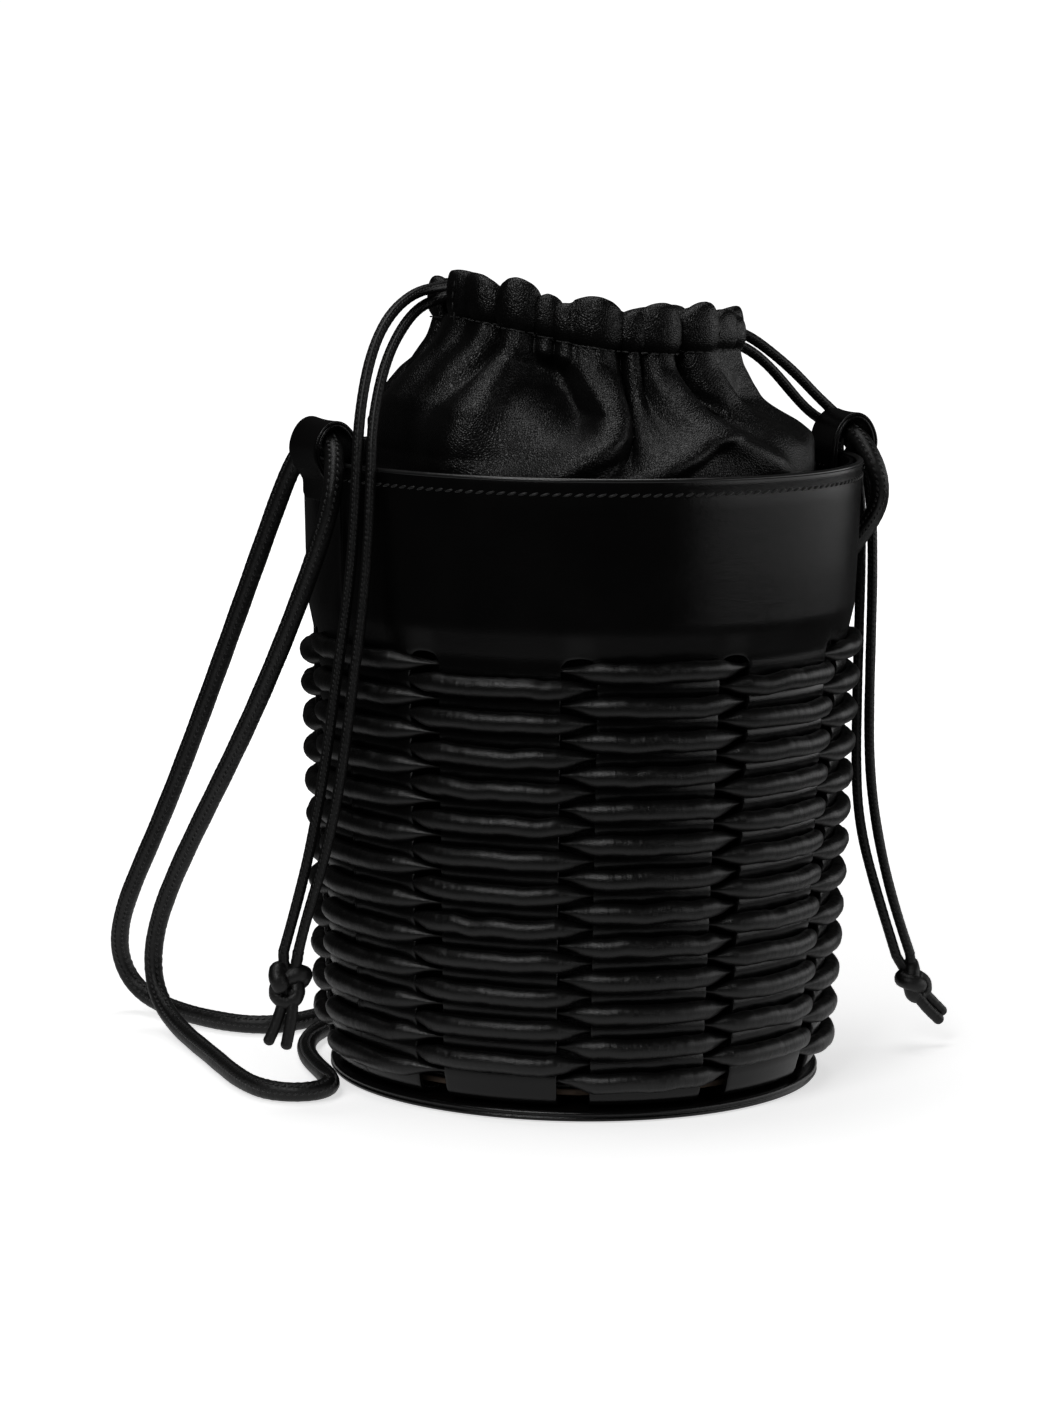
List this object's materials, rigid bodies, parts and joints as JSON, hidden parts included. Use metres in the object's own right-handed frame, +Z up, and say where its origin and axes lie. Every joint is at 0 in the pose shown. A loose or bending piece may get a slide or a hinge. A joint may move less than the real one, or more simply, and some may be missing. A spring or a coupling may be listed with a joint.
{
  "type": "woven leather bucket bag",
  "caption": "Bucket bag: a leather band slit into stakes and woven with leather cords, a gathered drawstring pouch inside, knotted drawcords and a rolled cord strap.",
  "frame": {"origin": "centre of the base's underside", "axes": "+Z up along the height, X through the two strap loops, -Y towards the front"},
  "size_m": [0.2471, 0.2074, 0.2522],
  "materials": {
    "band_leather": "glossy black box calf with a polished painted edge",
    "weave_leather": "glossy black leather cord, finely wrinkled across its length",
    "pouch_leather": "soft satin black nappa leather with a fine grain",
    "cord_leather": "satin black rolled leather cord with a stitched seam",
    "base_board": "matt brown leather board, hidden inside the base"
  },
  "bodies": {
    "basket": {"front_panel": "band_leather", "back_panel": "band_leather", "rim_facing": "band_leather", "left_strap_loop": "band_leather", "right_strap_loop": "band_leather", "base_disc": "band_leather", "base_stiffener": "base_board", "insole": "pouch_leather", "strap_cord": "cord_leather", "strap_knot": "cord_leather", "weaver_01": "weave_leather", "weaver_02": "weave_leather", "weaver_03": "weave_leather", "weaver_04": "weave_leather", "weaver_05": "weave_leather", "weaver_06": "weave_leather", "weaver_07": "weave_leather", "weaver_08": "weave_leather", "weaver_09": "weave_leather", "weaver_10": "weave_leather", "weaver_11": "weave_leather", "weaver_12": "weave_leather", "weaver_13": "weave_leather", "weaver_14": "weave_leather", "weaver_15": "weave_leather", "weaver_16": "weave_leather", "weaver_17": "weave_leather", "weaver_18": "weave_leather", "weaver_19": "weave_leather", "weaver_20": "weave_leather", "weaver_21": "weave_leather", "weaver_22": "weave_leather", "weaver_23": "weave_leather", "weaver_24": "weave_leather", "weaver_25": "weave_leather"},
    "pouch": {"pouch_body": "pouch_leather", "front_channel": "pouch_leather", "back_channel": "pouch_leather", "left_drawcord_run": "cord_leather", "right_drawcord_run": "cord_leather"},
    "left_cords": {"left_rear_cord": "cord_leather", "left_front_cord": "cord_leather", "left_knot": "cord_leather"},
    "right_cords": {"right_rear_cord": "cord_leather", "right_front_cord": "cord_leather", "right_knot": "cord_leather"}
  },
  "joints": [
    {"name": "pouch_lift", "type": "slide", "parent": "basket", "child": "pouch", "axis": [0, 0, 1], "range_m": [0, 0.22]},
    {"name": "left_cords_swing", "type": "hinge", "parent": "pouch", "child": "left_cords", "pos_m": [-0.044, 0, 0.246], "axis": [0, 1, 0], "range_deg": [0, 70]},
    {"name": "right_cords_swing", "type": "hinge", "parent": "pouch", "child": "right_cords", "pos_m": [0.044, 0, 0.232], "axis": [0, -1, 0], "range_deg": [0, 35]}
  ]
}
